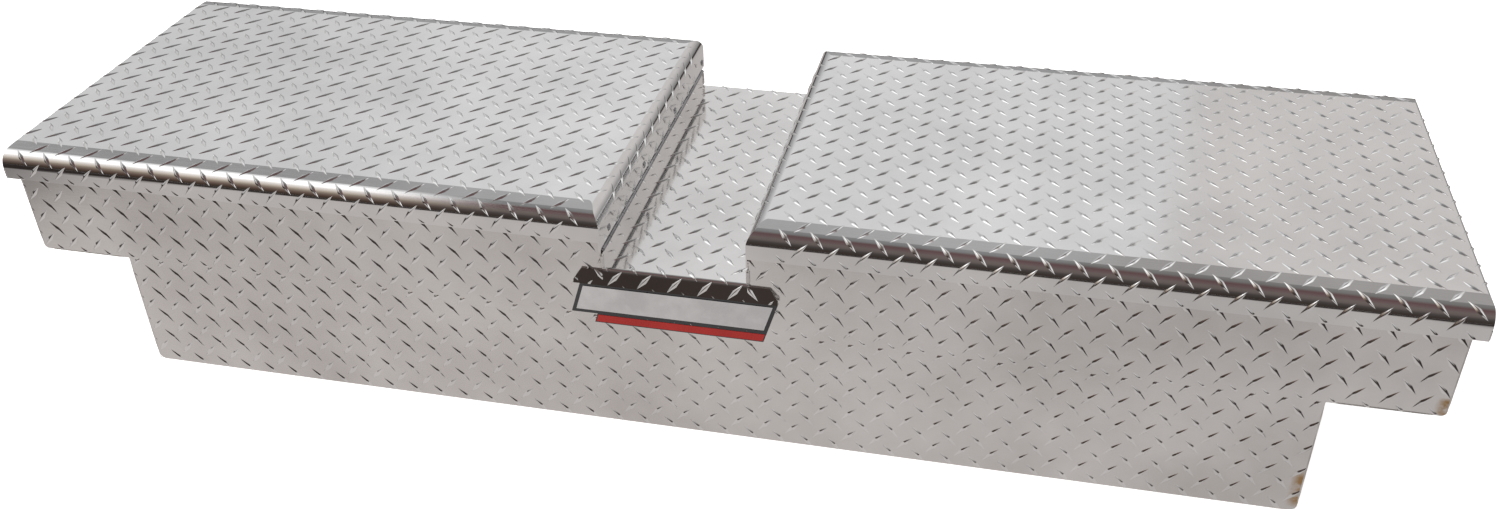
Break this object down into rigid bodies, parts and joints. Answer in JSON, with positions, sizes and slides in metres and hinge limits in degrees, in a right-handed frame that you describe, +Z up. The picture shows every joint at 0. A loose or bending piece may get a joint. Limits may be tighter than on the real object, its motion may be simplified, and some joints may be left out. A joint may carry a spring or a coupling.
{
  "type": "truck tool box",
  "caption": "Gull-wing crossover truck tool box in aluminium tread plate: T-shaped tub, two lids hinged beside a sunken centre deck, paddle latches and gas struts.",
  "frame": {"origin": "centre of the tub's underside", "axes": "+X along the length, across the truck bed; +Y from the front wall to the back wall; +Z up"},
  "size_m": [1.772, 0.508, 0.314],
  "materials": {
    "tread_plate": "bright rolled tread plate",
    "plain_sheet": "mill finish",
    "seal_rubber": "matt",
    "hinge_steel": "satin",
    "zinc_steel": "zinc plated",
    "strut_black": "gloss",
    "strut_chrome": "polished",
    "latch_stainless": "polished",
    "plate_dark": "gloss",
    "plate_bright": "bright",
    "plate_red": "gloss"
  },
  "bodies": {
    "box": {"tub_front_panel": "tread_plate", "tub_back_panel": "tread_plate", "tub_floor": "plain_sheet", "left_end_cap": "tread_plate", "right_end_cap": "tread_plate", "front_upper_panel": "tread_plate", "back_upper_panel": "tread_plate", "front_seam_strip": "plain_sheet", "back_seam_strip": "plain_sheet", "centre_bridge": "tread_plate", "bridge_brace": "plain_sheet", "nameplate": "plate_dark", "nameplate_bar": "plate_bright", "nameplate_stripe": "plate_red", "left_opening_frame": "plain_sheet", "left_weather_seal": "seal_rubber", "left_hinge_body_leaf": "hinge_steel", "left_hinge_pin": "hinge_steel", "left_strut_body_bracket": "zinc_steel", "left_latch_dish": "latch_stainless", "left_latch_frame": "zinc_steel", "left_latch_pins": "zinc_steel", "right_opening_frame": "plain_sheet", "right_weather_seal": "seal_rubber", "right_hinge_body_leaf": "hinge_steel", "right_hinge_pin": "hinge_steel", "right_strut_body_bracket": "zinc_steel", "right_latch_dish": "latch_stainless", "right_latch_frame": "zinc_steel", "right_latch_pins": "zinc_steel"},
    "left_lid": {"left_lid_skin": "tread_plate", "left_lid_stiffeners": "plain_sheet", "left_hinge_lid_leaf": "hinge_steel", "left_hinge_rivets": "hinge_steel", "left_strut_lid_bracket": "zinc_steel", "left_striker": "zinc_steel"},
    "left_strut_tube": {"left_strut_cylinder": "strut_black"},
    "left_strut_ram": {"left_strut_rod": "strut_chrome"},
    "left_paddle": {"left_latch_paddle": "latch_stainless"},
    "left_lock": {"left_lock_cylinder": "strut_chrome"},
    "left_hook": {"left_latch_hook": "zinc_steel"},
    "left_lever": {"left_release_lever": "zinc_steel"},
    "right_lid": {"right_lid_skin": "tread_plate", "right_lid_stiffeners": "plain_sheet", "right_hinge_lid_leaf": "hinge_steel", "right_hinge_rivets": "hinge_steel", "right_strut_lid_bracket": "zinc_steel", "right_striker": "zinc_steel"},
    "right_strut_tube": {"right_strut_cylinder": "strut_black"},
    "right_strut_ram": {"right_strut_rod": "strut_chrome"},
    "right_paddle": {"right_latch_paddle": "latch_stainless"},
    "right_lock": {"right_lock_cylinder": "strut_chrome"},
    "right_hook": {"right_latch_hook": "zinc_steel"},
    "right_lever": {"right_release_lever": "zinc_steel"}
  },
  "joints": [
    {"name": "left_lid_hinge", "type": "hinge", "parent": "box", "child": "left_lid", "pos_m": [-0.0887, 0, 0.2605], "axis": [0, 1, 0], "range_deg": [0, 75]},
    {"name": "left_strut_swing", "type": "hinge", "parent": "box", "child": "left_strut_tube", "pos_m": [-0.185, 0.205, 0.062], "axis": [0, 1, 0], "range_deg": [0, 21.71]},
    {"name": "left_strut_slide", "type": "slide", "parent": "left_strut_tube", "child": "left_strut_ram", "axis": [-0.1119, 0, 0.9937], "range_m": [0, 0.11026]},
    {"name": "left_paddle_pull", "type": "hinge", "parent": "box", "child": "left_paddle", "pos_m": [-0.864, 0, 0.253], "axis": [0, 1, 0], "range_deg": [0, 35]},
    {"name": "left_lock_turn", "type": "hinge", "parent": "left_paddle", "child": "left_lock", "pos_m": [-0.866, 0, 0.227], "axis": [-1, 0, 0], "range_deg": [0, 90]},
    {"name": "left_hook_swing", "type": "hinge", "parent": "box", "child": "left_hook", "pos_m": [-0.838, 0, 0.254], "axis": [0, -1, 0], "range_deg": [0, 70]},
    {"name": "left_lever_release", "type": "hinge", "parent": "box", "child": "left_lever", "pos_m": [-0.838, 0, 0.236], "axis": [0, 1, 0], "range_deg": [0, 14]},
    {"name": "right_lid_hinge", "type": "hinge", "parent": "box", "child": "right_lid", "pos_m": [0.0887, 0, 0.2605], "axis": [0, -1, 0], "range_deg": [0, 75]},
    {"name": "right_strut_swing", "type": "hinge", "parent": "box", "child": "right_strut_tube", "pos_m": [0.185, 0.205, 0.062], "axis": [0, -1, 0], "range_deg": [0, 21.71]},
    {"name": "right_strut_slide", "type": "slide", "parent": "right_strut_tube", "child": "right_strut_ram", "axis": [0.1119, 0, 0.9937], "range_m": [0, 0.11026]},
    {"name": "right_paddle_pull", "type": "hinge", "parent": "box", "child": "right_paddle", "pos_m": [0.864, 0, 0.253], "axis": [0, -1, 0], "range_deg": [0, 35]},
    {"name": "right_lock_turn", "type": "hinge", "parent": "right_paddle", "child": "right_lock", "pos_m": [0.866, 0, 0.227], "axis": [-1, 0, 0], "range_deg": [0, 90]},
    {"name": "right_hook_swing", "type": "hinge", "parent": "box", "child": "right_hook", "pos_m": [0.838, 0, 0.254], "axis": [0, 1, 0], "range_deg": [0, 70]},
    {"name": "right_lever_release", "type": "hinge", "parent": "box", "child": "right_lever", "pos_m": [0.838, 0, 0.236], "axis": [0, -1, 0], "range_deg": [0, 14]}
  ],
  "couplings": [
    {"joint": "left_strut_swing", "follows": "left_lid_hinge", "ratio": 0.28875},
    {"joint": "left_strut_slide", "follows": "left_lid_hinge", "m_per_rad": 0.084079},
    {"joint": "left_lever_release", "follows": "left_paddle_pull", "ratio": 0.4},
    {"joint": "right_strut_swing", "follows": "right_lid_hinge", "ratio": 0.28875},
    {"joint": "right_strut_slide", "follows": "right_lid_hinge", "m_per_rad": 0.084079},
    {"joint": "right_lever_release", "follows": "right_paddle_pull", "ratio": 0.4}
  ]
}
